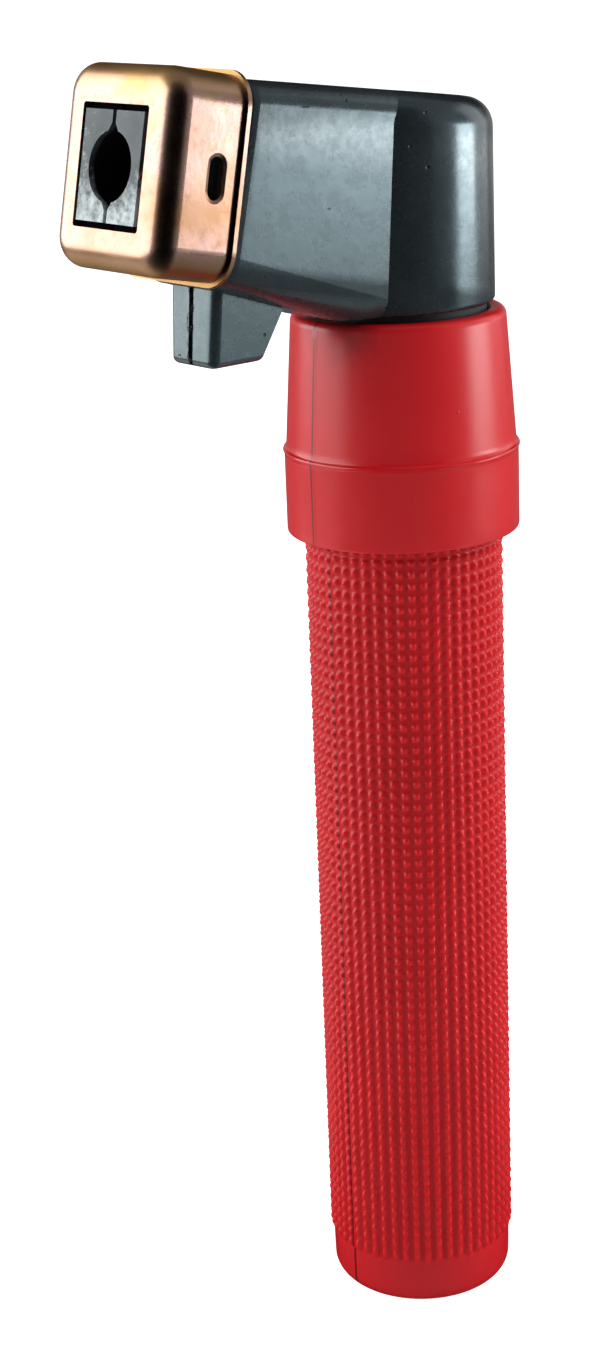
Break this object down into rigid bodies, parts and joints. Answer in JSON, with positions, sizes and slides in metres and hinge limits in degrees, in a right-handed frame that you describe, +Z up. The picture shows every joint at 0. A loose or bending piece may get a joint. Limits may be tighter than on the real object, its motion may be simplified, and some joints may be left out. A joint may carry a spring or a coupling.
{
  "type": "electrode holder",
  "caption": "Twist-grip welding electrode holder: knurled handle, angled insulated head and a square steel nose cap round a split electrode mouth.",
  "frame": {"origin": "centre of the handle's cable-entry end face, on the handle's twist axis", "axes": "+Z up along the handle to the head, +X the way the nose points, +Y to the holder's left; the XZ plane is the plane of symmetry"},
  "size_m": [0.0887, 0.045, 0.2499],
  "materials": {
    "black_moulding": "satin moulded phenolic-rubber compound with fine pits",
    "red_moulding": "semi-gloss moulded grip with a knurled lower part",
    "passivated_steel": "yellow zinc passivated pressing",
    "mouth_insulator": "dark grey arc-resistant moulding",
    "brass": "machined",
    "copper_alloy": "machined copper alloy",
    "steel": "zinc plated",
    "spring_steel": "oiled",
    "nylon": "natural nylon",
    "liner": "hard fibre tube",
    "rubber": "matt"
  },
  "bodies": {
    "head": {"housing_left": "black_moulding", "housing_right": "black_moulding", "housing_screws": "steel", "nose_cap": "passivated_steel", "mouth_block_left": "mouth_insulator", "mouth_block_right": "mouth_insulator", "contact_body": "brass", "lower_jaw": "copper_alloy", "jaw_screws": "steel", "pivot_pin": "steel", "return_spring": "spring_steel", "dust_seal": "rubber", "retaining_ring": "spring_steel", "thrust_washer": "steel", "guide_pin": "steel"},
    "handle": {"handle_grip": "red_moulding", "handle_bush": "nylon", "bush_lock_pin": "steel", "drive_nut": "brass", "insulating_liner": "liner", "cable_grommet": "rubber"},
    "spindle": {"spindle": "brass", "spindle_tip": "steel", "cable_socket": "brass", "socket_screws": "steel", "socket_pin": "steel"},
    "lever": {"clamp_lever": "brass", "upper_jaw": "copper_alloy", "jaw_rivets": "copper_alloy"}
  },
  "joints": [
    {"name": "handle_twist", "type": "hinge", "parent": "head", "child": "handle", "pos_m": [0, 0, 0.1], "axis": [0, 0, 1], "range_deg": [0, 270.5]},
    {"name": "spindle_slide", "type": "slide", "parent": "head", "child": "spindle", "axis": [0, 0, 1], "range_m": [0, 0.0045]},
    {"name": "lever_swing", "type": "hinge", "parent": "head", "child": "lever", "pos_m": [0.016, 0, 0.2337], "axis": [0, 1, 0], "range_deg": [0, 19.02], "deforming": ["return_spring"]}
  ],
  "couplings": [
    {"joint": "handle_twist", "follows": "spindle_slide", "rad_per_m": 1047.2},
    {"joint": "lever_swing", "follows": "spindle_slide", "rad_per_m": 71.429}
  ]
}
